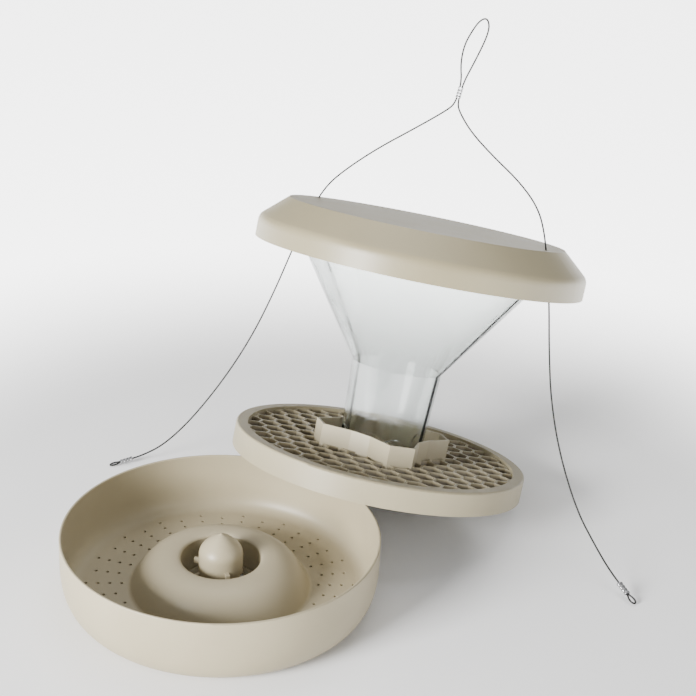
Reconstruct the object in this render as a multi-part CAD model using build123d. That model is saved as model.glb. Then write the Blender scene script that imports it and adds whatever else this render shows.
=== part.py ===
from build123d import *
import math
import os

# Hanging gravity seed feeder, taken apart for cleaning: the catch tray stands level on
# its base, and the feeding disc leans on the tray's rim with the seed hopper and the
# roof still on it. The hanging cable runs through the roof and its two ends lie free.
#
# World frame, millimetres: origin at the centre of the tray's base, +Z up.
# Disc frame: origin at the centre of the disc's lower edge, its Z is the feeder's own
# axis and its X runs through both seams of the hopper and both cable holes of the roof.

# ---------------------------------------------------------------- driving dimensions

# Catch tray
TRAY_RADIUS = 150.0
TRAY_HEIGHT = 68.4
TRAY_WALL = 2.5
TRAY_FLOOR = 2.5
TRAY_FOOT = 6.0              # the floor's underside clears the table by this much
FOOT_RADIUS = 120.5
FOOT_WIDTH = 3.0
INNER_BEND_REACH = 16.5      # how far the rounded inner edge runs in from the wall
TRAY_BEND_HEIGHT = 41.5      # where the rounded lower edge becomes the upright wall
DOME_BASE_RADIUS = 86.0
DOME_CREASE = 4.0            # rounding where the dome rises from the floor
DOME_CREST_RADIUS = 46.0
DOME_CREST_HEIGHT = 40.5
WELL_RADIUS = 38.0
WELL_WALL = 2.4
WELL_DROP = 2.5              # the well's lip lies this far below the crest
DRAIN_RADIUS = 1.6
DRAIN_ROWS = 36
DRAIN_FIRST = 93.7           # innermost hole of a long row
DRAIN_STEP = 11.3
DRAIN_TURN = 4.0             # the long rows start this many degrees from +X

# Locking post, pressed into the tray's well
POST_RADIUS = 21.0
POST_BASE = 22.0
POST_SHOULDER = 42.0         # where the straight side becomes the pointed nose
POST_TIP = 65.2
POST_RING_WALL = 2.4
POST_RING_BASE = 1.0
POST_RING_HEIGHT = 8.0
WEB_COUNT = 3
WEB_THICKNESS = 3.0
WEB_TURN = 320.0
WEB_INNER_HEIGHT = 27.0
WEB_OUTER_HEIGHT = 20.0
LUG_REACH = 5.0
LUG_WIDTH = 3.6
LUG_HEIGHT = 5.0
LUG_BASE = 29.0
LUG_TURN = 170.0

# Feeding disc
DISC_RADIUS = 156.6
DISC_HEIGHT = 24.4
DISC_WALL = 2.6
DISC_EDGE = 2.2              # rounding of the disc's top edge
MESH_RADIUS = 144.5
MESH_STEP_DOWN = 3.0         # the mesh lies this far below the border
MESH_DEPTH = 6.0
MESH_PITCH = 21.8            # centre to centre of the six-sided openings
MESH_RIB = 2.4
MESH_TURN = 15.0             # one row of openings lies this far from the disc's X
HUB_LEDGE = 3.0              # the hub plate reaches this far past the seed cup
HUB_PLATE = 2.0
BRACE_COUNT = 6
BRACE_THICKNESS = 2.0
FIT_GAP = 0.3                # clearance between parts that drop into each other

# Seed cup: four pockets round the hopper's neck
CUP_HEIGHT = 26.6            # from the hub plate to the cup's upper edge
CUP_WALL = 2.0
CUP_FLOOR = 2.4
POCKET_REACH = 71.0          # outer face of a pocket, from the axis
POCKET_HALF_WIDTH = 13.6
WAIST_REACH = 50.0           # outer face between two pockets, from the axis
WAIST_HALF_WIDTH = 11.5
SPREADER_RADIUS = 30.0       # low cone that sends the seed outwards
SPREADER_HEIGHT = 9.0
SOCKET_RADIUS = 28.0
SOCKET_WALL = 2.4
SOCKET_DROP = 34.0           # how far the locking socket reaches below the hub plate
SLOT_CLEARANCE = 0.6

# Hopper: two clear half shells with upright seams
NECK_RADIUS = 43.6
THROAT_RADIUS = 48.0
THROAT_HEIGHT = 112.0        # heights from the disc's lower edge
MOUTH_RADIUS = 128.0
MOUTH_HEIGHT = 228.0
RIM_HEIGHT = 6.0
SHELL_WALL = 2.0
SEAM_GAP = 0.1
FLANGE_REACH = 1.6
FLANGE_THICKNESS = 0.9
NOTCH_HEIGHT = 209.0         # hook notch for the cable's eye
NOTCH_SIZE = 5.0
PORT_RADIUS = 14.6
PORT_SIDE = 9.0

# Roof
ROOF_BASE = 221.5            # lower edge, from the disc's lower edge
ROOF_RADIUS = 173.2
ROOF_SKIRT = 15.0
ROOF_SHOULDER_HEIGHT = 24.0
ROOF_SHOULDER_RADIUS = 169.5
ROOF_HEIGHT = 45.0
ROOF_TOP_RADIUS = 145.4
ROOF_WALL = 2.8
RING_GAP = 2.5               # between the hopper's mouth and the roof's locating ring
RING_WALL = 2.4
RING_DEPTH = 34.0
STOP_COUNT = 6
STOP_THICKNESS = 2.0
STOP_REACH = 3.0             # how far a stop rib passes the hopper's rim
CABLE_HOLE_REACH = 135.0
CABLE_HOLE_RADIUS = 3.0

# Hanging cable and its fittings
CABLE_RADIUS = 0.9
FERRULE_LENGTH = 14.0
FERRULE_RADIUS = 3.2
TOP_FERRULE_LENGTH = 11.5
TOP_FERRULE_RADIUS = 2.9
EYE_LENGTH = 12.5
EYE_HALF_WIDTH = 2.6
EYE_FOOT = 1.0               # half the gap between the eye's two strands at the ferrule

# Cable routes in the world frame: the hanger runs from the left hole of the roof, through
# the top ferrule, round the loop and back down to the right hole. A leg hangs from each
# hole and lies on the table with a ferrule and an eye on its end.
HANGER_ROUTE = [
    (74.6, 320.4, 297.8), (82.3, 321.6, 312.0), (102.0, 313.5, 333.5),
    (135.0, 302.5, 361.5), (172.0, 289.5, 388.0), (203.0, 279.0, 411.0),
    (210.9, 276.5, 419.7), (215.6, 280.5, 440.0), (213.5, 286.5, 458.0),
    (216.0, 291.5, 475.0), (222.5, 293.0, 489.0), (229.5, 292.0, 500.5),
    (236.0, 289.0, 504.0), (239.0, 285.0, 497.5), (237.5, 283.3, 487.5),
    (232.0, 281.7, 473.0), (225.0, 280.2, 457.0), (217.4, 279.3, 440.0),
    (212.7, 275.3, 419.7), (215.5, 270.5, 411.0), (228.0, 257.5, 394.0),
    (250.0, 238.0, 375.5), (275.5, 216.0, 357.0), (294.0, 199.0, 336.5),
    (301.0, 182.5, 315.0), (303.6, 177.4, 297.8)]
LEFT_ROUTE = [
    (74.6, 320.4, 297.8), (66.9, 319.2, 283.6), (52.0, 311.0, 250.0),
    (32.0, 303.0, 197.0), (9.0, 294.6, 145.0), (-20.0, 283.7, 96.0),
    (-55.0, 270.6, 49.5), (-85.0, 259.2, 20.5), (-108.1, 250.7, 9.1),
    (-121.0, 245.9, 6.3)]
RIGHT_ROUTE = [
    (303.6, 177.4, 297.8), (306.2, 172.3, 280.6), (311.0, 168.0, 248.0),
    (315.5, 161.0, 200.0), (321.5, 150.5, 150.0), (333.0, 129.0, 99.5),
    (351.0, 97.0, 52.5), (368.0, 66.5, 29.5), (380.1, 44.6, 15.6),
    (387.5, 31.5, 10.5)]
TOP_FERRULE_BASE = (212.9, 276.8, 424.5)
TOP_FERRULE_AXIS = (4.7, 4.0, 20.3)

# How the disc, hopper and roof lean
LEAN = 15.9                  # degrees from upright
HEADING = 58.0               # direction of the lean, from +X
LEAN_SIDESTEP = 28.46        # the disc's middle passes the tray's middle by this much
LEAN_GAP = 0.53              # height of the disc's brace over the tray's rim

# Heights that follow from the sizes above
FLOOR_TOP = TRAY_FOOT + TRAY_FLOOR
MESH_TOP = DISC_HEIGHT - MESH_STEP_DOWN
HUB_TOP = MESH_TOP - MESH_DEPTH
CUP_FLOOR_TOP = HUB_TOP + CUP_FLOOR
ROOF_TOP = ROOF_BASE + ROOF_HEIGHT
RIM_TOP = MOUTH_HEIGHT + RIM_HEIGHT
NECK_BASE = CUP_FLOOR_TOP + FIT_GAP

# Place of the leaning disc: its low edge is on the table, and the brace that points back
# at the tray crosses the tray's rim
DISC_Z = DISC_RADIUS * math.sin(math.radians(LEAN))
RIM_REACH = math.sqrt(TRAY_RADIUS ** 2 - LEAN_SIDESTEP ** 2)
BRACE_REACH = (TRAY_HEIGHT + LEAN_GAP - DISC_Z) / math.tan(math.radians(LEAN))
DISC_AWAY = RIM_REACH + BRACE_REACH
DISC_X = (DISC_AWAY * math.cos(math.radians(HEADING))
          + LEAN_SIDESTEP * math.sin(math.radians(HEADING)))
DISC_Y = (DISC_AWAY * math.sin(math.radians(HEADING))
          - LEAN_SIDESTEP * math.cos(math.radians(HEADING)))


# ---------------------------------------------------------------- helpers

def leaning():
    """Places a part drawn in the disc frame where the leaning disc stands."""
    centre = Pos(DISC_X, DISC_Y, DISC_Z)
    return centre * Rot(0, 0, HEADING) * Rot(0, LEAN, 0) * Rot(0, 0, -90)


def turned(face):
    """Turns an upright outline in the XZ plane round the Z axis."""
    return revolve(face, Axis.Z)


def outline(*edges):
    """Closed face in the XZ plane from edges drawn as (radius, height)."""
    return Plane.XZ * make_face(Wire(list(edges)))


def box_between(x0, x1, y0, y1, z0, z1):
    """Box given by its lowest and highest corners."""
    size = Box(x1 - x0, y1 - y0, z1 - z0)
    return Pos((x0 + x1) / 2, (y0 + y1) / 2, (z0 + z1) / 2) * size


def tube(outer, inner, z0, z1):
    """Upright ring."""
    return Pos(0, 0, z0) * extrude(Circle(outer) - Circle(inner), z1 - z0)


def cylinder(radius, z0, z1):
    """Upright solid cylinder."""
    return Pos(0, 0, z0) * extrude(Circle(radius), z1 - z0)


def wall_arc(p, q, start, end):
    """Smooth curve between two points with a direction given at each."""
    return Spline([p, q], tangents=[start, end])


# ---------------------------------------------------------------- catch tray

def tray_body():
    """Thin-walled bowl with a domed middle and an open well in the dome."""
    wall = TRAY_RADIUS - TRAY_WALL
    floor = FLOOR_TOP
    lip = DOME_CREST_HEIGHT - WELL_DROP
    well_outer = WELL_RADIUS + WELL_WALL
    under_crest = DOME_CREST_HEIGHT - TRAY_FLOOR
    up, inward, outward, down = (0, 1), (-1, 0), (1, 0), (0, -1)
    foot = (FOOT_RADIUS, 0)
    outside = wall_arc(foot, (TRAY_RADIUS, TRAY_BEND_HEIGHT), outward, up)
    rim_out = Line((TRAY_RADIUS, TRAY_BEND_HEIGHT), (TRAY_RADIUS, TRAY_HEIGHT))
    rim = Line((TRAY_RADIUS, TRAY_HEIGHT), (wall, TRAY_HEIGHT))
    rim_in = Line((wall, TRAY_HEIGHT), (wall, TRAY_BEND_HEIGHT))
    bend_in = (wall - INNER_BEND_REACH, floor)
    inside = wall_arc((wall, TRAY_BEND_HEIGHT), bend_in, down, inward)
    floor_top = Line(bend_in, (DOME_BASE_RADIUS, floor))
    crest = (DOME_CREST_RADIUS, DOME_CREST_HEIGHT)
    dome = wall_arc((DOME_BASE_RADIUS, floor), crest, (-0.5, 0.87), inward)
    shoulder = wall_arc(crest, (WELL_RADIUS, lip), inward, (-0.3, -1))
    well = Line((WELL_RADIUS, lip), (WELL_RADIUS, POST_RING_BASE))
    well_base = Line((WELL_RADIUS, POST_RING_BASE), (well_outer, POST_RING_BASE))
    well_back = Line((well_outer, POST_RING_BASE), (well_outer, under_crest - WELL_DROP))
    base = (DOME_BASE_RADIUS - TRAY_FLOOR, TRAY_FOOT)
    rise = dome % 0.5
    haunch = dome @ 0.5 + TRAY_FLOOR * Vector(-rise.Y, rise.X)
    under_dome = Spline([(well_outer, under_crest - WELL_DROP), haunch, base],
                        tangents=[(0.8, 0.6), (0.5, -0.87)])
    under_floor = Line(base, (FOOT_RADIUS - FOOT_WIDTH, TRAY_FOOT))
    foot_in = Line((FOOT_RADIUS - FOOT_WIDTH, TRAY_FOOT), (FOOT_RADIUS - FOOT_WIDTH, 0))
    foot_face = Line((FOOT_RADIUS - FOOT_WIDTH, 0), foot)
    return turned(outline(outside, rim_out, rim, rim_in, inside, floor_top, dome, shoulder,
                          well, well_base, well_back, under_dome, under_floor, foot_in,
                          foot_face))


def drain_places():
    """Centres of the drain holes: rows of four and rows of three by turns."""
    places = []
    for row in range(DRAIN_ROWS):
        angle = math.radians(DRAIN_TURN + row * 360 / DRAIN_ROWS)
        short = row % 2
        first = DRAIN_FIRST + short * DRAIN_STEP / 2
        for step in range(4 - short):
            reach = first + step * DRAIN_STEP
            places.append((reach * math.cos(angle), reach * math.sin(angle)))
    return places


def tray():
    """Catch tray with its rim rounded and its floor drilled for rain water."""
    body = tray_body()
    rim_edges = body.edges().filter_by_position(Axis.Z, TRAY_HEIGHT - 0.01, TRAY_HEIGHT + 0.01)
    body = fillet(rim_edges, TRAY_WALL * 0.4)
    crease = [edge for edge in body.edges().filter_by(GeomType.CIRCLE)
              if abs(edge.radius - DOME_BASE_RADIUS) < 0.01 and edge.center().Z > TRAY_FOOT]
    body = fillet(crease, DOME_CREASE)
    holes = Sketch() + [Pos(x, y) * Circle(DRAIN_RADIUS) for x, y in drain_places()]
    return body - extrude(holes, DOME_CREST_HEIGHT)


# ---------------------------------------------------------------- locking post

def post_web(angle):
    """Upright web from the post out to its ring, with a sloping top."""
    start, end = POST_RADIUS * 0.6, WELL_RADIUS - POST_RING_WALL / 2
    side = Polyline((start, POST_RING_BASE), (end, POST_RING_BASE),
                    (end, WEB_OUTER_HEIGHT), (start, WEB_INNER_HEIGHT), close=True)
    plate = extrude(Plane.XZ * make_face(side), WEB_THICKNESS / 2, both=True)
    return Rot(0, 0, angle) * plate


def post_lug(angle):
    """Short lug that turns into a slot of the disc's socket."""
    reach = POST_RADIUS + LUG_REACH
    block = box_between(POST_RADIUS * 0.8, reach, -LUG_WIDTH / 2, LUG_WIDTH / 2,
                        LUG_BASE, LUG_BASE + LUG_HEIGHT)
    return Rot(0, 0, angle) * block


def locking_post():
    """Pointed post on three webs, with the ring that seats it in the well."""
    nose_height = POST_TIP - POST_SHOULDER
    side = Line((POST_RADIUS, POST_BASE), (POST_RADIUS, POST_SHOULDER))
    nose = Spline([(POST_RADIUS, POST_SHOULDER),
                   (POST_RADIUS * 0.7, POST_SHOULDER + nose_height * 0.55),
                   (POST_RADIUS * 0.27, POST_SHOULDER + nose_height * 0.86),
                   (0, POST_TIP)], tangents=[(0, 1), (-0.75, 0.65)])
    axis = Line((0, POST_TIP), (0, POST_BASE))
    base = Line((0, POST_BASE), (POST_RADIUS, POST_BASE))
    body = turned(outline(side, nose, axis, base))
    low = body.edges().filter_by_position(Axis.Z, POST_BASE - 0.01, POST_BASE + 0.01)
    body = fillet(low, POST_RADIUS * 0.15)
    post = body + tube(WELL_RADIUS, WELL_RADIUS - POST_RING_WALL, POST_RING_BASE,
                       POST_RING_BASE + POST_RING_HEIGHT)
    for step in range(WEB_COUNT):
        turn = step * 360 / WEB_COUNT
        post += post_web(WEB_TURN + turn)
        post += post_lug(LUG_TURN + turn)
    return post


# ---------------------------------------------------------------- feeding disc

def cup_outline(margin=0.0):
    """Four-pocket outline of the seed cup, moved outwards by a margin."""
    points = []
    for quarter in range(4):
        waist, pocket = math.radians(90 * quarter), math.radians(90 * quarter + 45)
        for angle, reach, half in ((waist, WAIST_REACH, WAIST_HALF_WIDTH),
                                   (pocket, POCKET_REACH, POCKET_HALF_WIDTH)):
            for side in (-half, half):
                points.append((reach * math.cos(angle) - side * math.sin(angle),
                               reach * math.sin(angle) + side * math.cos(angle)))
    face = make_face(Polyline(*points, close=True))
    return offset(face, margin, kind=Kind.INTERSECTION) if margin else face


def mesh_openings():
    """Six-sided openings of the mesh, clipped to the ring between cup and border."""
    turn = math.radians(MESH_TURN)
    reach = int(MESH_RADIUS / MESH_PITCH) + 2
    opening_radius = (MESH_PITCH - MESH_RIB) / 2
    cells = []
    for i in range(-reach, reach + 1):
        for j in range(-reach, reach + 1):
            u = MESH_PITCH * (i + j / 2)
            v = MESH_PITCH * j * math.sqrt(3) / 2
            x = u * math.cos(turn) - v * math.sin(turn)
            y = u * math.sin(turn) + v * math.cos(turn)
            distance = math.hypot(x, y)
            if WAIST_REACH - MESH_PITCH / 2 < distance < MESH_RADIUS + MESH_PITCH * 0.3:
                cell = RegularPolygon(opening_radius, 6, major_radius=False,
                                      rotation=MESH_TURN + 30)
                cells.append(Pos(x, y) * cell)
    ring = Circle(MESH_RADIUS) - cup_outline(FIT_GAP)
    return (Sketch() + cells) & ring


def disc_brace(angle):
    """Upright brace under the mesh, from the hub to the skirt."""
    blade = box_between(WAIST_REACH, DISC_RADIUS - DISC_WALL / 2,
                        -BRACE_THICKNESS / 2, BRACE_THICKNESS / 2, 0, HUB_TOP)
    return Rot(0, 0, angle) * blade


def feeding_disc():
    """Round perch with a skirt, a flat border and a deep six-sided mesh."""
    body = cylinder(DISC_RADIUS, 0, DISC_HEIGHT)
    top = body.edges().filter_by_position(Axis.Z, DISC_HEIGHT - 0.01, DISC_HEIGHT + 0.01)
    body = fillet(top, DISC_EDGE)
    under_border = DISC_HEIGHT - DISC_WALL
    body -= cylinder(DISC_RADIUS - DISC_WALL, 0, HUB_TOP)
    body -= tube(DISC_RADIUS - DISC_WALL, MESH_RADIUS + DISC_WALL, HUB_TOP, under_border)
    body -= cylinder(MESH_RADIUS, MESH_TOP, DISC_HEIGHT)
    braces = [disc_brace(30 + step * 360 / BRACE_COUNT) for step in range(BRACE_COUNT)]
    hub = Pos(0, 0, HUB_TOP - HUB_PLATE) * extrude(cup_outline(HUB_LEDGE), HUB_PLATE)
    for piece in braces:
        body += piece
    body += hub
    body -= Pos(0, 0, HUB_TOP) * extrude(mesh_openings(), DISC_HEIGHT)
    body -= Pos(0, 0, HUB_TOP) * extrude(cup_outline(FIT_GAP), DISC_HEIGHT)
    bore = SOCKET_RADIUS + SOCKET_WALL + FIT_GAP
    return body - cylinder(bore, -DISC_HEIGHT, HUB_TOP + DISC_HEIGHT)


# ---------------------------------------------------------------- seed cup

def socket_slot(angle):
    """Upright slot and sideways lock pocket for one lug of the post."""
    width = LUG_WIDTH + 2 * SLOT_CLEARANCE
    low = HUB_TOP - SOCKET_DROP
    inner, outer = SOCKET_RADIUS - 2, SOCKET_RADIUS + SOCKET_WALL + 2
    lane = box_between(inner, outer, -width / 2, width / 2, low - 1, low + LUG_HEIGHT * 2.4)
    pocket = box_between(inner, outer, -width / 2, width * 2, low + LUG_HEIGHT * 1.2,
                         low + LUG_HEIGHT * 2.4)
    return Rot(0, 0, angle) * (lane + pocket)


def seed_cup():
    """Four-pocket cup with a low spreading cone and a locking socket below."""
    body = Pos(0, 0, HUB_TOP) * extrude(cup_outline(), CUP_HEIGHT)
    inside = cup_outline(-CUP_WALL)
    body -= Pos(0, 0, CUP_FLOOR_TOP) * extrude(inside, CUP_HEIGHT)
    cone_top = CUP_FLOOR_TOP + SPREADER_HEIGHT
    cone = Pos(0, 0, CUP_FLOOR_TOP + SPREADER_HEIGHT / 2) * Cone(
        SPREADER_RADIUS, SPREADER_RADIUS * 0.25, SPREADER_HEIGHT)
    hollow = Pos(0, 0, (HUB_TOP + cone_top - CUP_FLOOR) / 2) * Cone(
        SOCKET_RADIUS, SPREADER_RADIUS * 0.2, cone_top - CUP_FLOOR - HUB_TOP)
    body += cone
    body += tube(SOCKET_RADIUS + SOCKET_WALL, SOCKET_RADIUS, HUB_TOP - SOCKET_DROP, HUB_TOP)
    body -= hollow
    for step in range(WEB_COUNT):
        body -= socket_slot(LUG_TURN + step * 360 / WEB_COUNT)
    return body


# ---------------------------------------------------------------- hopper

def hopper_outline():
    """Section through the clear wall: neck, cone and short upright rim."""
    foot = NECK_RADIUS
    outer = [(foot, NECK_BASE), (THROAT_RADIUS, THROAT_HEIGHT), (MOUTH_RADIUS, MOUTH_HEIGHT),
             (MOUTH_RADIUS, RIM_TOP)]
    inner = [(radius - SHELL_WALL, height) for radius, height in reversed(outer)]
    return Plane.XZ * make_face(Polyline(*outer, *inner, close=True))


def seam_flange(side):
    """Thin upright rib that follows the outside of the wall along one seam."""
    wall = [(NECK_RADIUS, NECK_BASE), (THROAT_RADIUS, THROAT_HEIGHT),
            (MOUTH_RADIUS, MOUTH_HEIGHT)]
    outer = [(side * (radius + FLANGE_REACH), height) for radius, height in wall]
    inner = [(side * (radius - SHELL_WALL / 2), height) for radius, height in reversed(wall)]
    face = Plane.XZ * make_face(Polyline(*outer, *inner, close=True))
    return extrude(face, FLANGE_THICKNESS, both=True)


def seed_port(angle):
    """Arched opening in the neck through which the seed runs into one pocket."""
    width = Pos(0, PORT_SIDE / 2) * Rectangle(2 * PORT_RADIUS, PORT_SIDE)
    arch = width + Pos(0, PORT_SIDE) * Circle(PORT_RADIUS)
    opening = extrude(Plane.XZ * arch, -THROAT_RADIUS * 1.2)
    return Rot(0, 0, angle - 90) * (Pos(0, 0, NECK_BASE) * opening)


def hopper_whole():
    """Both half shells in one, before they are parted along the seam plane."""
    body = turned(hopper_outline())
    for side in (-1, 1):
        body += seam_flange(side)
    slope = (MOUTH_RADIUS - THROAT_RADIUS) / (MOUTH_HEIGHT - THROAT_HEIGHT)
    notch_reach = THROAT_RADIUS + slope * (NOTCH_HEIGHT - THROAT_HEIGHT)
    body -= Pos(-notch_reach - FLANGE_REACH, 0, NOTCH_HEIGHT) * Box(
        2 * FLANGE_REACH, 4 * FLANGE_THICKNESS, NOTCH_SIZE)
    for quarter in range(4):
        body -= seed_port(45 + 90 * quarter)
    return body


def hopper_half(side):
    """One half shell: side -1 is the front one, side 1 the rear one."""
    reach = MOUTH_RADIUS * 1.2
    near, far = sorted((side * SEAM_GAP / 2, side * reach))
    return hopper_whole() & box_between(-reach, reach, near, far, 0, RIM_TOP + 1)


# ---------------------------------------------------------------- roof

def roof_curve(inset):
    """Outer or inner line of the roof's section, from the skirt to the flat top."""
    top = ROOF_TOP - inset
    skirt_top = ROOF_BASE + ROOF_SKIRT
    radius = ROOF_RADIUS - inset
    shoulder = (ROOF_SHOULDER_RADIUS - inset, ROOF_BASE + ROOF_SHOULDER_HEIGHT - inset * 0.4)
    edge = (ROOF_TOP_RADIUS - inset * 0.4, top)
    slope = (edge[0] - shoulder[0], edge[1] - shoulder[1])
    return [Line((radius, ROOF_BASE), (radius, skirt_top)),
            wall_arc((radius, skirt_top), shoulder, (0, 1), slope),
            Line(shoulder, edge),
            Line(edge, (0, top))]


def roof_stop(angle):
    """Rib that rests on the hopper's rim and carries the roof."""
    ring = MOUTH_RADIUS - SHELL_WALL - RING_GAP
    blade = box_between(ring - RING_WALL / 2, MOUTH_RADIUS + STOP_REACH,
                        -STOP_THICKNESS / 2, STOP_THICKNESS / 2,
                        RIM_TOP + FIT_GAP, ROOF_TOP - ROOF_WALL / 2)
    return Rot(0, 0, angle) * blade


def roof():
    """Lid with a short skirt, a sloping band and a flat top, and its cable holes."""
    outside, inside = roof_curve(0), roof_curve(ROOF_WALL)
    axis = Line((0, ROOF_TOP), (0, ROOF_TOP - ROOF_WALL))
    edge = Line((ROOF_RADIUS - ROOF_WALL, ROOF_BASE), (ROOF_RADIUS, ROOF_BASE))
    body = turned(outline(*outside, axis, *inside, edge))
    ring = MOUTH_RADIUS - SHELL_WALL - RING_GAP
    under = ROOF_TOP - ROOF_WALL
    body += tube(ring, ring - RING_WALL, under - RING_DEPTH, under)
    for step in range(STOP_COUNT):
        body += roof_stop(30 + step * 360 / STOP_COUNT)
    for side in (-1, 1):
        body -= Pos(side * CABLE_HOLE_REACH, 0, 0) * cylinder(CABLE_HOLE_RADIUS, under - 1,
                                                               ROOF_TOP + 1)
    return body


# ---------------------------------------------------------------- cable and fittings

def corner_radii(route):
    """Arc radius at each inner corner: as large as its two runs allow."""
    points = [Vector(*point) for point in route]
    radii = []
    for before, corner, after in zip(points, points[1:], points[2:]):
        run_in, run_out = corner - before, after - corner
        half_turn = math.radians(run_in.get_angle(run_out)) / 2
        radii.append(0.45 * min(run_in.length, run_out.length) / math.tan(half_turn))
    return radii


def cable(name, route, radius):
    """Round cable along straight runs joined by tangent arcs."""
    radii = corner_radii(route)
    path = FilletPolyline(*route, radius=radii)
    start = Plane(origin=path @ 0, z_dir=path % 0)
    body = sweep(start * Circle(radius), path=path)
    section = math.pi * radius ** 2 * path.length
    print(f"{name}: length {path.length:.1f}, tightest bend {min(radii):.1f}, "
          f"volume {body.volume:.1f} of {section:.1f}")
    return body


def along(base, direction):
    """Frame whose X runs along a direction and whose Y lies level."""
    ahead = Vector(*direction).normalized()
    level = Vector(0, 0, 1).cross(ahead).normalized()
    return Plane(origin=base, x_dir=ahead, z_dir=ahead.cross(level)).location


def sleeve(radius, length):
    """Flattened crimp sleeve lying along X, from the origin."""
    flat = SlotOverall(2 * radius, radius * 1.35)
    body = extrude(Plane.YZ * flat, length)
    return fillet(body.edges().filter_by(GeomType.LINE, reverse=True), radius * 0.12)


def eye_loop():
    """Loop of cable past a ferrule, along X from the ferrule's end face."""
    side, foot, length = EYE_HALF_WIDTH, EYE_FOOT, EYE_LENGTH
    route = [(0, -foot, 0), (2.0, -foot, 0), (5.5, -side, 0), (length - 2.2, -side, 0),
             (length, 0, 0), (length - 2.2, side, 0), (5.5, side, 0), (2.0, foot, 0),
             (0, foot, 0)]
    return cable("eye", route, CABLE_RADIUS)


def end_frame(route, distance):
    """Frame past the end of a leg, pointing the way the leg ends."""
    ahead = (Vector(*route[-1]) - Vector(*route[-2])).normalized()
    return along(Vector(*route[-1]) + ahead * distance, tuple(ahead))


def top_ferrule(hanger):
    """Sleeve that grips both strands under the loop."""
    ahead = Vector(*TOP_FERRULE_AXIS).normalized()
    across = Vector(*HANGER_ROUTE[18]) - Vector(*HANGER_ROUTE[6])
    frame = Plane(origin=TOP_FERRULE_BASE, x_dir=ahead, z_dir=ahead.cross(across)).location
    return frame * sleeve(TOP_FERRULE_RADIUS, TOP_FERRULE_LENGTH) - hanger


# ---------------------------------------------------------------- build and write

def main():
    lean = leaning()
    hanger = cable("hanger", HANGER_ROUTE, CABLE_RADIUS)
    ferrule = sleeve(FERRULE_RADIUS, FERRULE_LENGTH)
    eye = eye_loop()
    nodes = {
        "tray": tray(),
        "locking_post": locking_post(),
        "feeding_disc": lean * feeding_disc(),
        "seed_cup": lean * seed_cup(),
        "hopper_front_shell": lean * hopper_half(-1),
        "hopper_rear_shell": lean * hopper_half(1),
        "roof": lean * roof(),
        "hanger_cable": hanger,
        "left_cable": cable("left", LEFT_ROUTE, CABLE_RADIUS),
        "right_cable": cable("right", RIGHT_ROUTE, CABLE_RADIUS),
        "top_ferrule": top_ferrule(hanger),
        "left_ferrule": end_frame(LEFT_ROUTE, 0) * ferrule,
        "right_ferrule": end_frame(RIGHT_ROUTE, 0) * ferrule,
        "left_eye": end_frame(LEFT_ROUTE, FERRULE_LENGTH) * eye,
        "right_eye": end_frame(RIGHT_ROUTE, FERRULE_LENGTH) * eye,
    }
    os.makedirs("parts", exist_ok=True)
    for name, shape in nodes.items():
        export_step(shape, f"parts/{name}.step")


main()
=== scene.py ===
# %% [markdown]
# # A hanging seed feeder, taken apart
# The feeder stands in two lots: a round catch tray, level on its base, and the mesh disc with
# its clear hopper and roof, leaning on the tray's rim. The mouldings arrive as exact parts in
# a fixed frame, in metres. This lesson gives them their finishes, and makes by hand what
# a moulding can't be: the twisted cable, its crimped sleeves and its two small eyes.

# %% Load the fixed parts
import math

import bmesh
import bpy
from mathutils import Matrix, Vector


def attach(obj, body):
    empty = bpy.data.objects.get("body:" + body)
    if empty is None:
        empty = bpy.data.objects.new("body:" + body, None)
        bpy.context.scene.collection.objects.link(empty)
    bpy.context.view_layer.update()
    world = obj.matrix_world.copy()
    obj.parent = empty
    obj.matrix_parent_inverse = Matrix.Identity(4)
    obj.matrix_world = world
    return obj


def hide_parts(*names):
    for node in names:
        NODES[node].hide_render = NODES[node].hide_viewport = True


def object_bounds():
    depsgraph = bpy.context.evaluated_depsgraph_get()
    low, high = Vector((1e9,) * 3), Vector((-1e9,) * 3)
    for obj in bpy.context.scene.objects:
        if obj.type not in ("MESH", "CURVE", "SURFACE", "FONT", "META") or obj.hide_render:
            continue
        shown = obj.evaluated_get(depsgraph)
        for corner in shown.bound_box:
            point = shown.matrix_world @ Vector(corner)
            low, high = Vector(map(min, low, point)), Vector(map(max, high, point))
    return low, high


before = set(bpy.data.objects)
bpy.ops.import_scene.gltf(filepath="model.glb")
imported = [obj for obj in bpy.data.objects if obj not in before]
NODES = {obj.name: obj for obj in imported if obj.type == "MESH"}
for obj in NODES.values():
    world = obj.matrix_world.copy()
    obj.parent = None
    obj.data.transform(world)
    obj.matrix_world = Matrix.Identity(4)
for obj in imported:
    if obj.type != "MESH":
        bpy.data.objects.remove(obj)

MM = 0.001
CAD_BOX = [list(corner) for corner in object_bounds()]
print("parts:", sorted(NODES))
print("box:", [[round(v, 3) for v in corner] for corner in CAD_BOX])

# %% [markdown]
# ## Camera
# A long lens a metre off gives the calm perspective of a catalogue picture. A camera can be
# aimed with a constraint, but a written matrix is exact and has no hidden state: its columns
# are the camera's right, up and backward directions, turned a little about the view line.

# %% Camera
CAMERA_PLACE = Vector((0.0824, -1.0514, 0.7127))
CAMERA_PITCH = math.radians(23.86)
CAMERA_ROLL = math.radians(2.74)
LENS = 67.41                 # millimetres, on a sensor 36 mm wide
SENSOR_WIDTH = 36
SHIFT = (0.0438, 0.0167)     # framing, as shares of the picture's width
FAR_CLIP = 50


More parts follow.
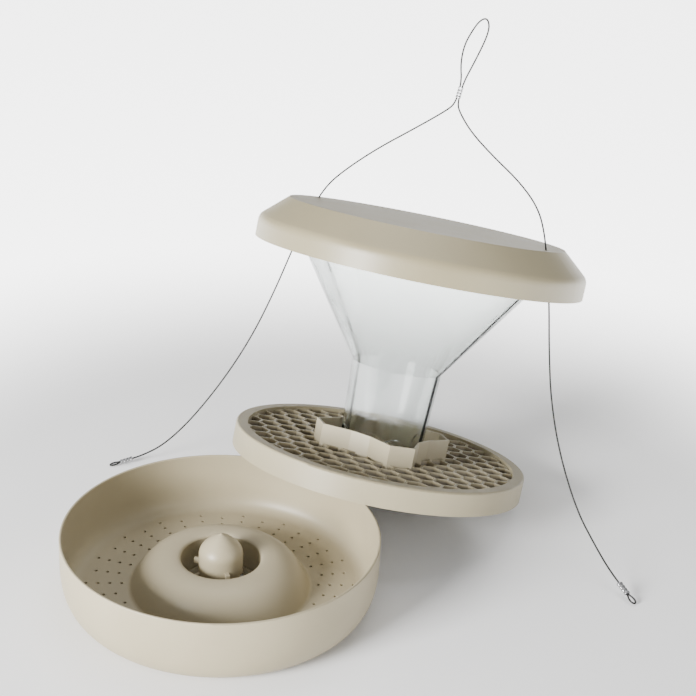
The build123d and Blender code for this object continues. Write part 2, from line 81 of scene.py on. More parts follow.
def make_camera():
    """Camera that looks along +Y and down, with a slight roll."""
    right = Vector((1, 0, 0))
    up = Vector((0, math.sin(CAMERA_PITCH), math.cos(CAMERA_PITCH)))
    ahead = Vector((0, math.cos(CAMERA_PITCH), -math.sin(CAMERA_PITCH)))
    turned_right = right * math.cos(CAMERA_ROLL) + up * math.sin(CAMERA_ROLL)
    turned_up = up * math.cos(CAMERA_ROLL) - right * math.sin(CAMERA_ROLL)
    camera = bpy.data.objects.new("camera", bpy.data.cameras.new("camera"))
    bpy.context.scene.collection.objects.link(camera)
    camera.matrix_world = Matrix.Translation(CAMERA_PLACE) @ Matrix(
        (turned_right, turned_up, -ahead)).transposed().to_4x4()
    camera.data.lens = LENS
    camera.data.sensor_width = SENSOR_WIDTH
    camera.data.shift_x, camera.data.shift_y = SHIFT
    camera.data.clip_end = FAR_CLIP
    return camera


bpy.context.scene.camera = make_camera()
print("camera at", tuple(CAMERA_PLACE))

# %% [markdown]
# ## Cable routes
# The feeder hangs from one thin coated steel cable. Over the roof it makes two legs and a loop;
# under the roof each leg lies out to its crimped end. Each route is a short list of points, and
# a NURBS spline of order three rounds them the way a springy cable bends, with no kinks.

# %% Cable routes
CABLE_RADIUS = 0.9 * MM
HANGER_ROUTE = [
    (0.0746, 0.3204, 0.2978), (0.0823, 0.3216, 0.3120), (0.1020, 0.3135, 0.3335),
    (0.1350, 0.3025, 0.3615), (0.1720, 0.2895, 0.3880), (0.2030, 0.2790, 0.4110),
    (0.2109, 0.2765, 0.4197), (0.2156, 0.2805, 0.4400), (0.2135, 0.2865, 0.4580),
    (0.2160, 0.2915, 0.4750), (0.2225, 0.2930, 0.4890), (0.2295, 0.2920, 0.5005),
    (0.2360, 0.2890, 0.5040), (0.2390, 0.2850, 0.4975), (0.2375, 0.2833, 0.4875),
    (0.2320, 0.2817, 0.4730), (0.2250, 0.2802, 0.4570), (0.2174, 0.2793, 0.4400),
    (0.2127, 0.2753, 0.4197), (0.2155, 0.2705, 0.4110), (0.2280, 0.2575, 0.3940),
    (0.2500, 0.2380, 0.3755), (0.2755, 0.2160, 0.3570), (0.2940, 0.1990, 0.3365),
    (0.3010, 0.1825, 0.3150), (0.3036, 0.1774, 0.2978)]
LEFT_ROUTE = [
    (0.0746, 0.3204, 0.2978), (0.0669, 0.3192, 0.2836), (0.0520, 0.3110, 0.2500),
    (0.0320, 0.3030, 0.1970), (0.0090, 0.2946, 0.1450), (-0.0200, 0.2837, 0.0960),
    (-0.0550, 0.2706, 0.0495), (-0.0850, 0.2592, 0.0205), (-0.1081, 0.2507, 0.0091),
    (-0.1210, 0.2459, 0.0063)]
RIGHT_ROUTE = [
    (0.3036, 0.1774, 0.2978), (0.3062, 0.1723, 0.2806), (0.3110, 0.1680, 0.2480),
    (0.3155, 0.1610, 0.2000), (0.3215, 0.1505, 0.1500), (0.3330, 0.1290, 0.0995),
    (0.3510, 0.0970, 0.0525), (0.3680, 0.0665, 0.0295), (0.3801, 0.0446, 0.0156),
    (0.3875, 0.0315, 0.0105)]


def smooth_line(points, detail=16):
    """Points along the NURBS spline that has these control points."""
    data = bpy.data.curves.new("route", "CURVE")
    data.dimensions = "3D"
    data.resolution_u = detail
    spline = data.splines.new("NURBS")
    spline.points.add(len(points) - 1)
    for control, place in zip(spline.points, points):
        control.co = (*place, 1)
    spline.order_u = 3
    spline.use_endpoint_u = True
    route = bpy.data.objects.new("route", data)
    bpy.context.scene.collection.objects.link(route)
    mesh = bpy.data.meshes.new_from_object(route)
    line = [vertex.co.copy() for vertex in mesh.vertices]
    bpy.data.objects.remove(route)
    bpy.data.curves.remove(data)
    bpy.data.meshes.remove(mesh)
    return line


def line_length(line):
    """Length of a line of points."""
    return sum((b - a).length for a, b in zip(line, line[1:]))


def evenly_spaced(line, step):
    """The same line with its points a fixed step apart."""
    total = line_length(line)
    count = max(2, round(total / step))
    spaced, walked, index = [line[0].copy()], 0.0, 0
    for number in range(1, count):
        target = total * number / count
        while walked + (line[index + 1] - line[index]).length < target:
            walked += (line[index + 1] - line[index]).length
            index += 1
        run = line[index + 1] - line[index]
        spaced.append(line[index] + run * ((target - walked) / run.length))
    spaced.append(line[-1].copy())
    return spaced


HANGER_LINE = smooth_line(HANGER_ROUTE)
LEFT_LINE = smooth_line(LEFT_ROUTE)
RIGHT_LINE = smooth_line(RIGHT_ROUTE)
for title, line in (("hanger", HANGER_LINE), ("left", LEFT_LINE), ("right", RIGHT_LINE)):
    print(f"{title} cable: {line_length(line) * 1000:.0f} mm")

# %% [markdown]
# ## The cable's strands
# Such a cable is laid from outer strands that twist round a core, and the black coating follows
# them. Separate helices would need six meshes a leg; one tube whose section has six lobes, and
# turns as it goes, has the same surface in a single closed skin. Its frame is carried along the
# line without spinning, so that the twist is the cable's own.

# %% Twisted cable
STRANDS = 6
STRAND_DEPTH = 0.15          # valley between strands, as a share of the radius
LAY_LENGTH = 9 * MM          # one full turn of the strands
RING_POINTS = 24
RING_STEP = 0.6 * MM


def carried_frames(line):
    """A side direction for each point, carried along the line without twist."""
    side = (line[1] - line[0]).orthogonal().normalized()
    frames = []
    for index, point in enumerate(line):
        before = line[max(index - 1, 0)]
        after = line[min(index + 1, len(line) - 1)]
        ahead = (after - before).normalized()
        side = (side - ahead * side.dot(ahead)).normalized()
        frames.append((point, side, ahead.cross(side)))
    return frames


def skin_of_rings(name, rings):
    """Closed mesh over a row of rings with equal numbers of points."""
    mesh = bmesh.new()
    rows = [[mesh.verts.new(place) for place in ring] for ring in rings]
    count = len(rings[0])
    for low, high in zip(rows, rows[1:]):
        for index in range(count):
            following = (index + 1) % count
            mesh.faces.new((low[index], low[following], high[following], high[index]))
    mesh.faces.new(list(reversed(rows[0])))
    mesh.faces.new(rows[-1])
    bmesh.ops.recalc_face_normals(mesh, faces=mesh.faces)
    data = bpy.data.meshes.new(name)
    mesh.to_mesh(data)
    mesh.free()
    data.polygons.foreach_set("use_smooth", [len(f.vertices) == 4 for f in data.polygons])
    piece = bpy.data.objects.new(name, data)
    bpy.context.scene.collection.objects.link(piece)
    return piece


def twisted_cable(name, line):
    """Coated cable whose section turns with its strands."""
    spaced = evenly_spaced(line, RING_STEP)
    step = line_length(spaced) / (len(spaced) - 1)
    rings = []
    for index, (centre, side, other) in enumerate(carried_frames(spaced)):
        twist = 2 * math.pi * index * step / LAY_LENGTH
        ring = []
        for corner in range(RING_POINTS):
            angle = 2 * math.pi * corner / RING_POINTS
            valley = 1 - abs(math.cos((angle - twist) * STRANDS / 2))
            reach = CABLE_RADIUS * (1 - STRAND_DEPTH * valley ** 2)
            ring.append(centre + side * (reach * math.cos(angle))
                        + other * (reach * math.sin(angle)))
        rings.append(ring)
    return skin_of_rings(name, rings)


hanger = twisted_cable("hanger_strands", HANGER_LINE)
left_leg = twisted_cable("left_leg_strands", LEFT_LINE)
right_leg = twisted_cable("right_leg_strands", RIGHT_LINE)
print("cable faces:", sum(len(leg.data.polygons) for leg in (hanger, left_leg, right_leg)))

# %% [markdown]
# ## Sleeves and eyes
# A crimp sleeve is a short oval tube of soft aluminium, pinched in a tool, so it keeps the
# tool's bites along it and a rounded mouth at each end. Rings of points make that shape
# directly: each ring is the oval, drawn in where a bite is. Past each lower sleeve the cable
# comes back as a small eye, which is one more twisted cable on a tight route.

# %% Crimp sleeves and eyes
SLEEVE_LENGTH = 14.0 * MM
SLEEVE_RADIUS = 3.2 * MM
TOP_SLEEVE_LENGTH = 11.5 * MM
TOP_SLEEVE_RADIUS = 2.9 * MM
TOP_SLEEVE_BASE = Vector((0.2129, 0.2768, 0.4245))
TOP_SLEEVE_AXIS = Vector((4.7, 4.0, 20.3)).normalized()
SLEEVE_FLATNESS = 0.66       # thickness of the oval over its width
BITES = (0.24, 0.50, 0.76)   # where the tool bit, along the sleeve
BITE_WIDTH = 0.075
BITE_DEPTH = 0.13
SLEEVE_RINGS = 44
OVAL_POINTS = 32
OVAL_FULLNESS = 0.8          # under 1 makes the oval squarer than an ellipse
MOUTH_SCALES = (0.62, 0.55)  # the mouth's edge and its sunken floor
MOUTH_DEPTH = 0.08           # share of the sleeve's length
END_ROUNDING = 0.10
END_REACH = 0.05
EYE_LENGTH = 12.5 * MM
EYE_HALF_WIDTH = 2.6 * MM
EYE_FOOT = 1.0 * MM


def leg_frame(route, distance):
    """Frame past the end of a leg: X ahead, Y level."""
    last, previous = Vector(route[-1]), Vector(route[-2])
    ahead = (last - previous).normalized()
    level = Vector((0, 0, 1)).cross(ahead).normalized()
    turn = Matrix((ahead, level, ahead.cross(level))).transposed().to_4x4()
    return Matrix.Translation(last + ahead * distance) @ turn


def sleeve_scale(share):
    """How far the oval is drawn in at a share of the sleeve's length."""
    scale = 1.0
    for bite in BITES:
        scale -= BITE_DEPTH * math.exp(-((share - bite) / BITE_WIDTH) ** 2)
    end = min(share, 1 - share)
    return scale * (1 - END_ROUNDING * max(0.0, 1 - end / END_REACH) ** 2)


def oval(place, reach, scale, flat_scale=1.0):
    """Ring of points of the sleeve's oval section."""
    ring = []
    for corner in range(OVAL_POINTS):
        angle = 2 * math.pi * corner / OVAL_POINTS
        across = math.copysign(abs(math.cos(angle)) ** OVAL_FULLNESS, math.cos(angle))
        height = math.copysign(abs(math.sin(angle)) ** OVAL_FULLNESS, math.sin(angle))
        ring.append(Vector((place, across * reach * scale,
                            height * reach * SLEEVE_FLATNESS * scale * flat_scale)))
    return ring


def crimp_sleeve(name, where, length, radius):
    """Pinched sleeve with a rounded, sunken mouth at each end."""
    edge, sunken = MOUTH_SCALES
    rings = [oval(length * MOUTH_DEPTH, radius, sunken), oval(0, radius, edge)]
    for index in range(SLEEVE_RINGS + 1):
        share = index / SLEEVE_RINGS
        scale = sleeve_scale(share)
        rings.append(oval(length * share, radius, scale, 1 - (1 - scale) * 1.2))
    rings += [oval(length, radius, edge), oval(length * (1 - MOUTH_DEPTH), radius, sunken)]
    placed = [[where @ point for point in ring] for ring in rings]
    return skin_of_rings(name, placed)


def eye_of_cable(name, where):
    """Small teardrop eye past a sleeve."""
    near, wide, far = 2.0 * MM, 5.5 * MM, EYE_LENGTH - 2.2 * MM
    half, foot = EYE_HALF_WIDTH, EYE_FOOT
    route = [(0, -foot, 0), (near, -foot, 0), (wide, -half, 0), (far, -half, 0),
             (EYE_LENGTH, 0, 0), (far, half, 0), (wide, half, 0), (near, foot, 0),
             (0, foot, 0)]
    return twisted_cable(name, smooth_line([where @ Vector(point) for point in route]))


def top_sleeve_frame():
    """Frame of the sleeve under the loop, its width across both strands."""
    across = Vector(HANGER_ROUTE[18]) - Vector(HANGER_ROUTE[6])
    normal = TOP_SLEEVE_AXIS.cross(across).normalized()
    turn = Matrix((TOP_SLEEVE_AXIS, normal.cross(TOP_SLEEVE_AXIS), normal))
    return Matrix.Translation(TOP_SLEEVE_BASE) @ turn.transposed().to_4x4()


top_sleeve = crimp_sleeve("top_crimp_sleeve", top_sleeve_frame(), TOP_SLEEVE_LENGTH,
                          TOP_SLEEVE_RADIUS)
left_sleeve = crimp_sleeve("left_crimp_sleeve", leg_frame(LEFT_ROUTE, 0), SLEEVE_LENGTH,
                           SLEEVE_RADIUS)
right_sleeve = crimp_sleeve("right_crimp_sleeve", leg_frame(RIGHT_ROUTE, 0), SLEEVE_LENGTH,
                            SLEEVE_RADIUS)
left_eye = eye_of_cable("left_cable_eye", leg_frame(LEFT_ROUTE, SLEEVE_LENGTH))
right_eye = eye_of_cable("right_cable_eye", leg_frame(RIGHT_ROUTE, SLEEVE_LENGTH))
print("sleeve faces:", len(left_sleeve.data.polygons))

# %% [markdown]
# ## What the cable pieces stand for
# The cable lies through the roof, so it rides on the roof's body. Each piece takes the place of
# the plain part that holds its room.

STANDS_FOR = {
    "hanger_cable": (hanger, "coated_cable"), "left_cable": (left_leg, "coated_cable"),
    "right_cable": (right_leg, "coated_cable"), "top_ferrule": (top_sleeve, "ferrule_metal"),
    "left_ferrule": (left_sleeve, "ferrule_metal"),
    "right_ferrule": (right_sleeve, "ferrule_metal"),
    "left_eye": (left_eye, "coated_cable"), "right_eye": (right_eye, "coated_cable")}
for node, (piece, slot_name) in STANDS_FOR.items():
    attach(piece, "roof_body")
    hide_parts(node)
print("declared", len(STANDS_FOR), "cable pieces")

# %% [markdown]
# ## Small helpers for materials
# A node tree drawn by hand is easy to read on screen and hard to read in a file. Three helpers
# keep it short: one adds a node and sets its sockets, one joins two sockets, and one makes a
# group with named inputs and outputs.

# %% Node helpers

def add_node(tree, kind, label="", **values):
    """Adds a node; values name its properties or, with spaces as _, its input sockets."""
    node = tree.nodes.new(kind)
    node.label = label
    for key, value in values.items():
        if hasattr(node, key):
            setattr(node, key, value)
        else:
            node.inputs[key.replace("_", " ")].default_value = value
    return node


def maths(tree, operation, first, second=None, clamp=False):
    """Math node on sockets or plain numbers; returns its result socket."""
    node = tree.nodes.new("ShaderNodeMath")
    node.operation = operation
    node.use_clamp = clamp
    for socket, value in zip(node.inputs, (first, second)):
        if value is None:
            continue
        if isinstance(value, (int, float)):
            socket.default_value = value
        else:
            tree.links.new(value, socket)
    return node.outputs[0]


def new_group(name, inputs, outputs):
    """Shader node group; each socket is (name, kind, default)."""
    group = bpy.data.node_groups.new(name, "ShaderNodeTree")
    for title, kind, default in inputs:
        socket = group.interface.new_socket(title, in_out="INPUT", socket_type=kind)
        socket.default_value = default
    for title, kind in outputs:
        group.interface.new_socket(title, in_out="OUTPUT", socket_type=kind)
    return group, group.nodes.new("NodeGroupInput"), group.nodes.new("NodeGroupOutput")


def place_group(tree, group, **values):
    """Puts a group in a tree with its own values."""
    node = tree.nodes.new("ShaderNodeGroup")
    node.node_tree = group
    for key, value in values.items():
        node.inputs[key.replace("_", " ")].default_value = value
    return node


FLOAT = "NodeSocketFloat"
print("helpers ready")

# %% [markdown]
# ## Moulded grain
# A steel mould is spark-eroded or blasted, and the plastic takes on its fine pits, so the
# surface is satin and never quite even. Two noises do it: a fine one for the pits and a slow
# one for the faint clouding where the melt cooled unevenly. Both read the piece's own space,
# so the grain stays on the piece when it moves.

# %% Grain group

def make_grain():
    """Group: fine pits as Height, slow clouding as Cloud."""
    group, source, result = new_group(
        "moulded grain", [("Pits per metre", FLOAT, 900), ("Clouds per metre", FLOAT, 14)],
        [("Height", FLOAT), ("Cloud", FLOAT)])
    place = group.nodes.new("ShaderNodeTexCoord")
    fine = add_node(group, "ShaderNodeTexNoise", "pits", Detail=3.0, Roughness=0.6)
    slow = add_node(group, "ShaderNodeTexNoise", "clouds", Detail=4.0, Roughness=0.55)
    for noise, density in ((fine, "Pits per metre"), (slow, "Clouds per metre")):
        group.links.new(place.outputs["Object"], noise.inputs["Vector"])
        group.links.new(source.outputs[density], noise.inputs["Scale"])
    group.links.new(fine.outputs["Fac"], result.inputs["Height"])
    group.links.new(slow.outputs["Fac"], result.inputs["Cloud"])
    return group


GRAIN = make_grain()
print("group:", GRAIN.name)

# %% [markdown]
# ## Rubbed edges and dust
# Handling polishes the edges of soft plastic until they look paler, and seed dust settles on
# what faces up. A rounded normal differs from the true one only close to an edge, which makes
# a clean edge mask on any mesh. The dust mask is the upward part of the surface, broken up by
# noise.

# %% Wear groups

def make_edge_mask():
    """Group: Mask is 1 on edges and 0 elsewhere, broken up a little."""
    group, source, result = new_group(
        "rubbed edge", [("Sharpness", FLOAT, 3.0)], [("Mask", FLOAT)])
    rounded = add_node(group, "ShaderNodeBevel", "rounded", samples=6, Radius=1.1 * MM)
    true = group.nodes.new("ShaderNodeNewGeometry")
    match = group.nodes.new("ShaderNodeVectorMath")
    match.operation = "DOT_PRODUCT"
    group.links.new(rounded.outputs["Normal"], match.inputs[0])
    group.links.new(true.outputs["Normal"], match.inputs[1])
    change = maths(group, "SUBTRACT", 1.0, match.outputs["Value"], clamp=True)
    strong = maths(group, "MULTIPLY", change, source.outputs["Sharpness"], clamp=True)
    place = group.nodes.new("ShaderNodeTexCoord")
    patches = add_node(group, "ShaderNodeTexNoise", "patches", Scale=120.0, Detail=3.0)
    group.links.new(place.outputs["Object"], patches.inputs["Vector"])
    group.links.new(maths(group, "MULTIPLY", strong, patches.outputs["Fac"]),
                    result.inputs["Mask"])
    return group


def make_dust_mask():
    """Group: Mask is where dust settles, on what faces up."""
    group, source, result = new_group(
        "settled dust", [("Amount", FLOAT, 0.3)], [("Mask", FLOAT)])
    surface = group.nodes.new("ShaderNodeNewGeometry")
    split = group.nodes.new("ShaderNodeSeparateXYZ")
    group.links.new(surface.outputs["Normal"], split.inputs[0])
    upward = maths(group, "POWER", maths(group, "MAXIMUM", split.outputs["Z"], 0.0), 3.0)
    place = group.nodes.new("ShaderNodeTexCoord")
    specks = add_node(group, "ShaderNodeTexNoise", "specks", Scale=65.0, Detail=8.0,
                      Roughness=0.7)
    group.links.new(place.outputs["Object"], specks.inputs["Vector"])
    broken = maths(group, "MULTIPLY", upward, specks.outputs["Fac"])
    group.links.new(maths(group, "MULTIPLY", broken, source.outputs["Amount"]),
                    result.inputs["Mask"])
    return group


EDGES = make_edge_mask()
DUST = make_dust_mask()
print("groups:", EDGES.name, DUST.name)

# %% [markdown]
# ## Stone-coloured plastic
# The tray, disc, cup and roof are the same warm grey-beige polypropylene. It is dyed through,
# so wear shows as a paler, smoother edge and not as another colour. The four parts differ a
# little in tone, as batches do, so one function makes the material and each part gets its own
# values.

# %% Stone-coloured plastic
DUST_COLOUR = (0.36, 0.31, 0.235)
RUBBED_GAIN = 1.22           # a rubbed edge is this much paler

def mixed_colour(tree, mask, first, second):
    """Mix of two colours by a mask socket; each is a socket or a plain colour."""
    mix = tree.nodes.new("ShaderNodeMix")
    mix.data_type = "RGBA"
    tree.links.new(mask, mix.inputs["Factor"])
    for socket, value in ((mix.inputs["A"], first), (mix.inputs["B"], second)):
        if isinstance(value, tuple):
            socket.default_value = (*value, 1)
        else:
            tree.links.new(value, socket)
    return mix.outputs["Result"]


def new_material(name):
    """Empty material with a Principled shader joined to its output."""
    material = bpy.data.materials.new(name)
    material.use_nodes = True
    tree = material.node_tree
    tree.nodes.clear()
    shader = tree.nodes.new("ShaderNodeBsdfPrincipled")
    output = tree.nodes.new("ShaderNodeOutputMaterial")
    tree.links.new(shader.outputs[0], output.inputs[0])
    return material, tree, shader


def stone_plastic(name, deep, pale, gloss, dust_amount, painted_shade=None):
    """Dyed plastic with grain, clouding, rubbed edges and dust; the last argument makes a mask
    for painted shade.
    """
    material, tree, shader = new_material(name)
    grain = place_group(tree, GRAIN)
    edge = place_group(tree, EDGES)
    dust = place_group(tree, DUST, Amount=dust_amount)
    body = mixed_colour(tree, grain.outputs["Cloud"], deep, pale)
    rubbed = tuple(min(1.0, value * RUBBED_GAIN) for value in pale)
    worn = mixed_colour(tree, edge.outputs["Mask"], body, rubbed)
    dust_and_shade = mixed_colour(tree, dust.outputs["Mask"], worn, DUST_COLOUR)
    # for the disc, painted shade: a mask darkens the walls of the mesh's openings
    if painted_shade:
        dust_and_shade = mixed_colour(tree, painted_shade(tree), dust_and_shade, MESH_SHADE_COLOUR)
    tree.links.new(dust_and_shade, shader.inputs["Base Color"])
    rough = maths(tree, "MULTIPLY_ADD", grain.outputs["Cloud"], 0.12)
    rough.node.inputs[2].default_value = gloss
    tree.links.new(maths(tree, "ADD", rough, dust.outputs["Mask"], clamp=True),
                   shader.inputs["Roughness"])
    bump = add_node(tree, "ShaderNodeBump", "pits", Strength=0.18, Distance=0.25 * MM)
    tree.links.new(grain.outputs["Height"], bump.inputs["Height"])
    tree.links.new(bump.outputs["Normal"], shader.inputs["Normal"])
    return material


print("plastic maker ready")

# %% [markdown]
# ## Painted shade in the mesh
# The walls of the openings in the disc's deep mesh get painted shade: a dark colour that
# grows with the depth, so that they read darker than the ribs. The mask measures the disc's own
# height and reach from its leaning axis, and so it stays inside the openings and off the outer
# skirt. The same axis later places the hopper's seams.

# %% Painted shade mask and the four plastics
DISC_CENTRE = (0.1506, 0.1873, 0.0429)   # middle of the disc's lower edge
LEAN = math.radians(15.9)
HEADING = math.radians(58.0)             # direction in which the feeder leans
FEEDER_AXIS = (math.sin(LEAN) * math.cos(HEADING), math.sin(LEAN) * math.sin(HEADING),
               math.cos(LEAN))
MESH_TOP = 21.4 * MM                     # height of the ribs over the disc's lower edge
MESH_SHADE_DEPTH = 4.0 * MM                   # depth at which the painted shade is darkest
MESH_SHADE_REACH = 145.0 * MM                 # the mesh ends here
MESH_SHADE_STRENGTH = 0.8
# painted shade colour for the walls of the mesh's openings
MESH_SHADE_COLOUR = (0.085, 0.068, 0.045)


def vector_maths(tree, operation, first, second):
    """Vector Math node on a socket and a socket or fixed vector; returns the node."""
    node = tree.nodes.new("ShaderNodeVectorMath")
    node.operation = operation
    tree.links.new(first, node.inputs[0])
    if isinstance(second, tuple):
        node.inputs[1].default_value = second
    else:
        tree.links.new(second, node.inputs[1])
    return node


def mesh_painted_shade(tree):
    """Painted shade mask that grows with the depth in the openings of the disc's mesh."""
    place = tree.nodes.new("ShaderNodeTexCoord")
    away = vector_maths(tree, "SUBTRACT", place.outputs["Object"], DISC_CENTRE).outputs[0]
    height = vector_maths(tree, "DOT_PRODUCT", away, FEEDER_AXIS).outputs["Value"]
    reach = vector_maths(tree, "CROSS_PRODUCT", away, FEEDER_AXIS).outputs[0]
    distance = vector_maths(tree, "LENGTH", reach, reach).outputs["Value"]
    depth = maths(tree, "SUBTRACT", MESH_TOP, height)
    share = maths(tree, "DIVIDE", depth, MESH_SHADE_DEPTH, clamp=True)
    within = maths(tree, "LESS_THAN", distance, MESH_SHADE_REACH)
    return maths(tree, "MULTIPLY", maths(tree, "MULTIPLY", share, within), MESH_SHADE_STRENGTH)


TRAY_FINISH = stone_plastic("tray_plastic", (0.326, 0.279, 0.180), (0.394, 0.343, 0.228),
                            0.36, 0.22)
# the disc also gets painted shade in its mesh's openings
DISC_FINISH = stone_plastic("disc_plastic", (0.285, 0.245, 0.153), (0.342, 0.299, 0.194),
                            0.38, 0.24, mesh_painted_shade)
CUP_FINISH = stone_plastic("cup_plastic", (0.350, 0.304, 0.203), (0.424, 0.373, 0.256),
                           0.36, 0.20)
ROOF_FINISH = stone_plastic("roof_plastic", (0.216, 0.186, 0.110), (0.258, 0.224, 0.136),
                            0.34, 0.18)
print("stone plastics made")

# %% [markdown]
# ## Clear hopper
# The hopper's shells are clear plastic, two millimetres thick, hazed by seed rubbing inside.
# True transmission through the real wall gives the bright rims and the soft stripes for free.
# Haze is a change of roughness, from a slow noise and from long upright streaks, and never
# a painted picture of a reflection. Where the two shells meet, a mask darkens the plastic
# next to that plane with painted shade, a thin dark line.

# %% Clear plastic
CLEAR_COLOUR = (0.935, 0.965, 0.955)
# painted shade: the near-black line where the two shells meet
SEAM_SHADE_COLOUR = (0.008, 0.009, 0.008)
SEAM_HALF_WIDTH = 0.95 * MM
SEAM_FACING = (math.cos(HEADING) * math.cos(LEAN), math.sin(HEADING) * math.cos(LEAN),
               -math.sin(LEAN))          # the shells meet in the plane that faces this way


def seam_shade_mask(tree, place):
    """Painted shade mask that is 1 next to the plane in which the two shells meet."""
    shift = vector_maths(tree, "SUBTRACT", place, DISC_CENTRE).outputs[0]
    across = vector_maths(tree, "DOT_PRODUCT", shift, SEAM_FACING).outputs["Value"]
    return maths(tree, "LESS_THAN", maths(tree, "ABSOLUTE", across), SEAM_HALF_WIDTH)


def clear_shell():
    """Clear plastic with rubbed haze, faint upright flow lines and a painted shade line at the
    seam.
    """
    material, tree, shader = new_material("clear_shell")
    shader.inputs["IOR"].default_value = 1.46
    shader.inputs["Transmission Weight"].default_value = 1.0
    place = tree.nodes.new("ShaderNodeTexCoord")
    stretch = tree.nodes.new("ShaderNodeMapping")
    stretch.inputs["Scale"].default_value = (1, 1, 0.12)
    tree.links.new(place.outputs["Object"], stretch.inputs["Vector"])
    streaks = add_node(tree, "ShaderNodeTexNoise", "flow lines", Scale=160.0, Detail=5.0)
    haze = add_node(tree, "ShaderNodeTexNoise", "haze", Scale=22.0, Detail=6.0, Roughness=0.65)
    tree.links.new(stretch.outputs["Vector"], streaks.inputs["Vector"])
    tree.links.new(place.outputs["Object"], haze.inputs["Vector"])
    both = maths(tree, "MULTIPLY", streaks.outputs["Fac"], haze.outputs["Fac"])
    rubbed = maths(tree, "POWER", both, 2.0)
    rough = maths(tree, "MULTIPLY_ADD", rubbed, 1.2)
    rough.node.inputs[2].default_value = 0.012
    tree.links.new(rough, shader.inputs["Roughness"])
    bump = add_node(tree, "ShaderNodeBump", "waviness", Strength=0.2, Distance=0.6 * MM)
    tree.links.new(haze.outputs["Fac"], bump.inputs["Height"])
    tree.links.new(bump.outputs["Normal"], shader.inputs["Normal"])
    # painted shade: the plastic next to the shells' meeting plane is darkened to near black
    seam = seam_shade_mask(tree, place.outputs["Object"])
    tree.links.new(mixed_colour(tree, seam, CLEAR_COLOUR, SEAM_SHADE_COLOUR),
                   shader.inputs["Base Color"])
    return material


CLEAR = clear_shell()
print("clear plastic made")

# %% [markdown]
# ## Cable coating and sleeve metal
# The cable's coating is black and a little dull where it flexes. The sleeves are soft
# aluminium: brushed by the tool along their length and greyed by weather, with darker bites.

# %% Cable and sleeve finishes

def coated_cable():
    """Black coating with scuffs."""
    material, tree, shader = new_material("coated_cable")
    shader.inputs["Specular IOR Level"].default_value = 0.25
    grain = place_group(tree, GRAIN, Pits_per_metre=2600, Clouds_per_metre=90)
    colour = mixed_colour(tree, grain.outputs["Cloud"], (0.006, 0.006, 0.006),
                          (0.022, 0.021, 0.020))
    tree.links.new(colour, shader.inputs["Base Color"])
    tree.links.new(maths(tree, "MULTIPLY", grain.outputs["Height"], 0.8),
                   shader.inputs["Roughness"])
    bump = add_node(tree, "ShaderNodeBump", "scuffs", Strength=0.3, Distance=0.05 * MM)
    tree.links.new(grain.outputs["Height"], bump.inputs["Height"])
    tree.links.new(bump.outputs["Normal"], shader.inputs["Normal"])
    return material


def sleeve_metal():
    """Weathered soft aluminium with brush marks."""
    material, tree, shader = new_material("ferrule_metal")
    shader.inputs["Metallic"].default_value = 1.0
    grain = place_group(tree, GRAIN, Pits_per_metre=3000, Clouds_per_metre=260)
    edge = place_group(tree, EDGES, Sharpness=2.0)
    body = mixed_colour(tree, grain.outputs["Cloud"], (0.27, 0.27, 0.28), (0.52, 0.52, 0.53))
    colour = mixed_colour(tree, edge.outputs["Mask"], body, (0.74, 0.74, 0.75))
    tree.links.new(colour, shader.inputs["Base Color"])
    rough = maths(tree, "MULTIPLY_ADD", grain.outputs["Cloud"], 0.25)
    rough.node.inputs[2].default_value = 0.22
    tree.links.new(rough, shader.inputs["Roughness"])
    bump = add_node(tree, "ShaderNodeBump", "brush marks", Strength=0.35, Distance=0.06 * MM)
    tree.links.new(grain.outputs["Height"], bump.inputs["Height"])
    tree.links.new(bump.outputs["Normal"], shader.inputs["Normal"])
    return material


COATING = coated_cable()
SLEEVE_METAL = sleeve_metal()
print("cable finishes made")

# %% [markdown]
# ## Put the finishes on
# An exact part keeps its mesh and only gets a material in its slots. The hand-made cable
# pieces get theirs in the same way.

# %% Finishes on pieces

def finish_piece(piece, material):
    """Gives a piece one material in place of all it had."""
    piece.data.materials.clear()
    piece.data.materials.append(material)


PART_FINISHES = {
    "tray": TRAY_FINISH, "locking_post": TRAY_FINISH, "feeding_disc": DISC_FINISH,
    "seed_cup": CUP_FINISH, "roof": ROOF_FINISH,
    "hopper_front_shell": CLEAR, "hopper_rear_shell": CLEAR}
for node, material in PART_FINISHES.items():
    finish_piece(NODES[node], material)
for piece, slot_name in STANDS_FOR.values():
    finish_piece(piece, SLEEVE_METAL if slot_name == "ferrule_metal" else COATING)
print("finished", len(PART_FINISHES) + len(STANDS_FOR), "pieces")

# %% [markdown]
# ## Floor and light
# A pale floor under soft light keeps the eye on the plastic. The main light is large and comes
# from the front left, near the camera's height, so that upright walls are brighter than what
# faces up. Weak ones fill from the right and from above. The floor glows away from the feeder,
# so that the clear hopper has something bright to show.

# %% Floor, sky and lights
MIDDLE = (0.12, 0.12, 0.15)
FLOOR_SIZE = 30.0
FLOOR_GLOW = 4.2             # the floor glows like a light table, but not under the feeder
GLOW_STARTS = 0.40           # distance from the feeder's middle
GLOW_FULL = 0.95


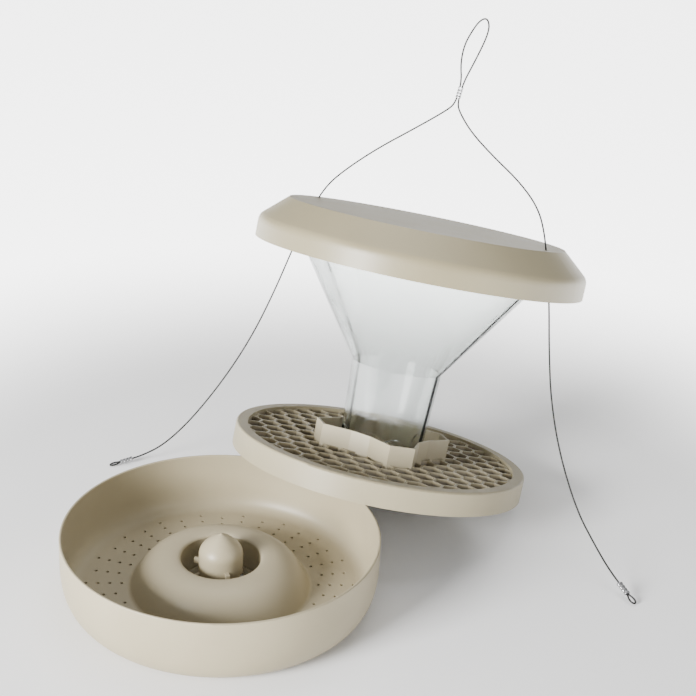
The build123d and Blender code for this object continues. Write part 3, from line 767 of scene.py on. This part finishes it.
def floor_glow(tree):
    """Glow that grows with the distance from the feeder's middle."""
    place = tree.nodes.new("ShaderNodeTexCoord")
    away = tree.nodes.new("ShaderNodeVectorMath")
    away.operation = "DISTANCE"
    away.inputs[1].default_value = (MIDDLE[0], MIDDLE[1], 0)
    tree.links.new(place.outputs["Object"], away.inputs[0])
    ramp = tree.nodes.new("ShaderNodeMapRange")
    ramp.interpolation_type = "SMOOTHSTEP"
    ramp.inputs["From Min"].default_value = GLOW_STARTS
    ramp.inputs["From Max"].default_value = GLOW_FULL
    ramp.inputs["To Max"].default_value = FLOOR_GLOW
    tree.links.new(away.outputs["Value"], ramp.inputs["Value"])
    return ramp.outputs["Result"]


def make_floor():
    """Wide pale floor just under the tray's base."""
    mesh = bmesh.new()
    bmesh.ops.create_grid(mesh, x_segments=2, y_segments=2, size=FLOOR_SIZE / 2)
    data = bpy.data.meshes.new("floor")
    mesh.to_mesh(data)
    mesh.free()
    floor = bpy.data.objects.new("floor", data)
    bpy.context.scene.collection.objects.link(floor)
    floor.location = (0, 0, CAD_BOX[0][2])
    material, tree, shader = new_material("pale_floor")
    shader.inputs["Base Color"].default_value = (0.92, 0.92, 0.92, 1)
    shader.inputs["Roughness"].default_value = 0.9
    shader.inputs["Emission Color"].default_value = (1, 1, 1, 1)
    tree.links.new(floor_glow(tree), shader.inputs["Emission Strength"])
    floor.data.materials.append(material)
    return floor


def make_light(name, place, target, size, power):
    """Square soft light aimed at a point."""
    data = bpy.data.lights.new(name, "AREA")
    data.size = size
    data.energy = power
    light = bpy.data.objects.new(name, data)
    bpy.context.scene.collection.objects.link(light)
    light.location = place
    light.rotation_euler = (Vector(target) - Vector(place)).to_track_quat("-Z", "Y").to_euler()
    return light


def make_sky(strength):
    """Even white surroundings."""
    world = bpy.data.worlds.new("sky")
    world.use_nodes = True
    background = world.node_tree.nodes["Background"]
    background.inputs["Color"].default_value = (1.0, 1.0, 1.0, 1)
    background.inputs["Strength"].default_value = strength
    bpy.context.scene.world = world


make_floor()
make_light("front_left_light", (-2.0, -1.9, 0.95), MIDDLE, 1.1, 300)
make_light("front_right_light", (1.9, -1.5, 0.9), MIDDLE, 1.2, 12)
make_light("top_light", (0.3, 0.9, 2.4), MIDDLE, 1.6, 25)
make_sky(0.45)
print("stage set")
